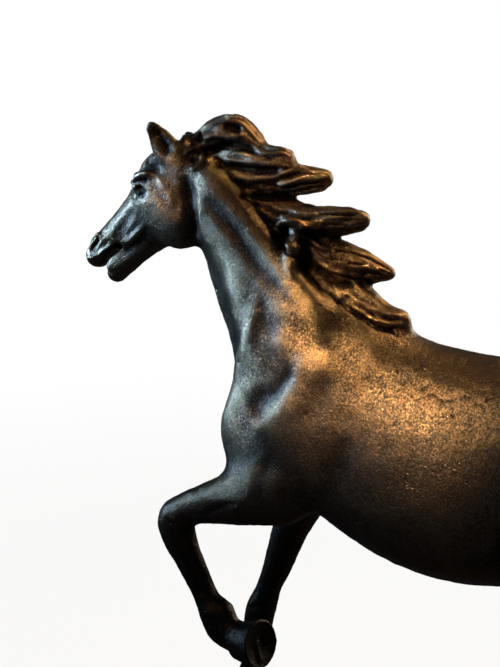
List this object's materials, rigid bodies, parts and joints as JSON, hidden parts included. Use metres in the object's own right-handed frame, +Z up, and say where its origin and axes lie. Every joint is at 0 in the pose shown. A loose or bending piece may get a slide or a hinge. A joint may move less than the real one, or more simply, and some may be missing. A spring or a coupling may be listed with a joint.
{
  "type": "cast iron horse statue",
  "caption": "Cast iron statue of a prancing horse on a low oval-ended base, one foreleg lifted, mouth open, mane streaming back and tail carried high, with a bronzed finish.",
  "frame": {"origin": "middle of the underside of the base", "axes": "+Z up, -X the way the horse faces, -Y the horse's left side"},
  "size_m": [0.2795, 0.08, 0.2432],
  "materials": {
    "bronzed_iron": "sand-cast iron with a satin dark bronze finish, brown-gold on the proud surfaces and near black in the hollows",
    "black_iron": "sand-cast iron with a satin dark bronze finish, darker than the figure"
  },
  "bodies": {
    "root": {"horse": "bronzed_iron", "base": "black_iron"}
  },
  "joints": []
}
